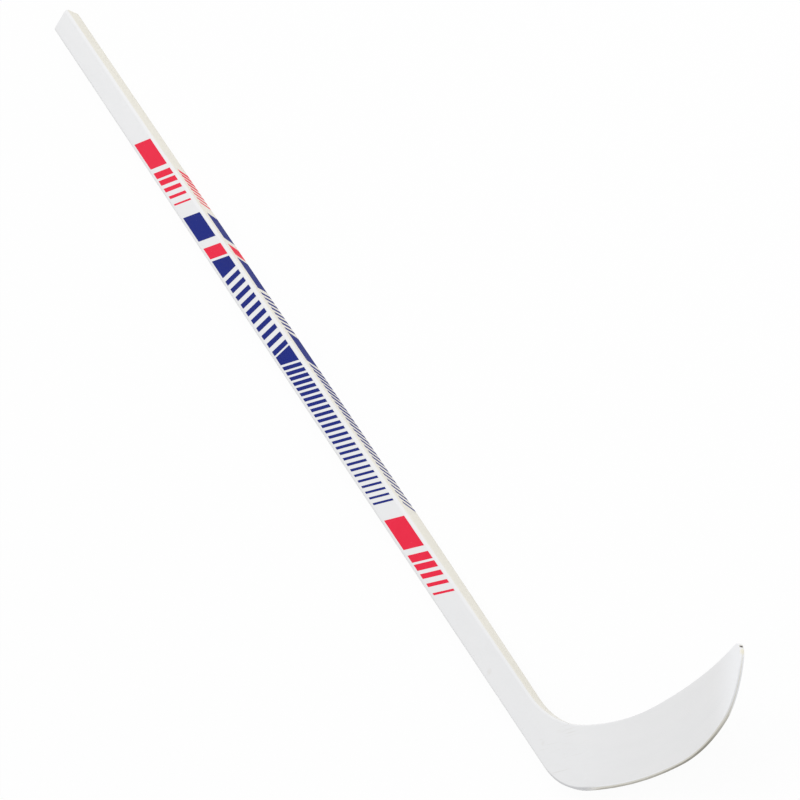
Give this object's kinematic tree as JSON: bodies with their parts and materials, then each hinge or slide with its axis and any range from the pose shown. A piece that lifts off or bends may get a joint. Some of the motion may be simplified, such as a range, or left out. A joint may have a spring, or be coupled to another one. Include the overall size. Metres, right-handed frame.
{
  "type": "ice hockey stick",
  "caption": "Full-length wooden ice hockey stick with a left-hand curved blade, laminated shaft, forked joint and glass cloth over the blade.",
  "frame": {"origin": "centre of the shaft's butt end face", "axes": "+X along the shaft from the butt to the heel, +Y towards the toe side, +Z out of the front (forehand) face; the stick lies on its back"},
  "size_m": [1.6961, 0.2564, 0.0864],
  "materials": {
    "ivory_paint": "satin",
    "white_glass_sheet": "satin",
    "pale_veneer": "satin",
    "cream_wood": "matte",
    "olive_wood": "matte"
  },
  "bodies": {
    "root": {"shaft_core": "ivory_paint", "shaft_lamination_front": "ivory_paint", "shaft_lamination_back": "ivory_paint", "shaft_veneer_front": "pale_veneer", "shaft_veneer_back": "pale_veneer", "shaft_glass_front": "white_glass_sheet", "shaft_glass_back": "white_glass_sheet", "throat_block_front": "ivory_paint", "throat_block_back": "ivory_paint", "blade_core": "cream_wood", "blade_ply_front": "olive_wood", "blade_ply_back": "olive_wood", "blade_skin_front": "white_glass_sheet", "blade_skin_back": "white_glass_sheet"}
  },
  "joints": []
}
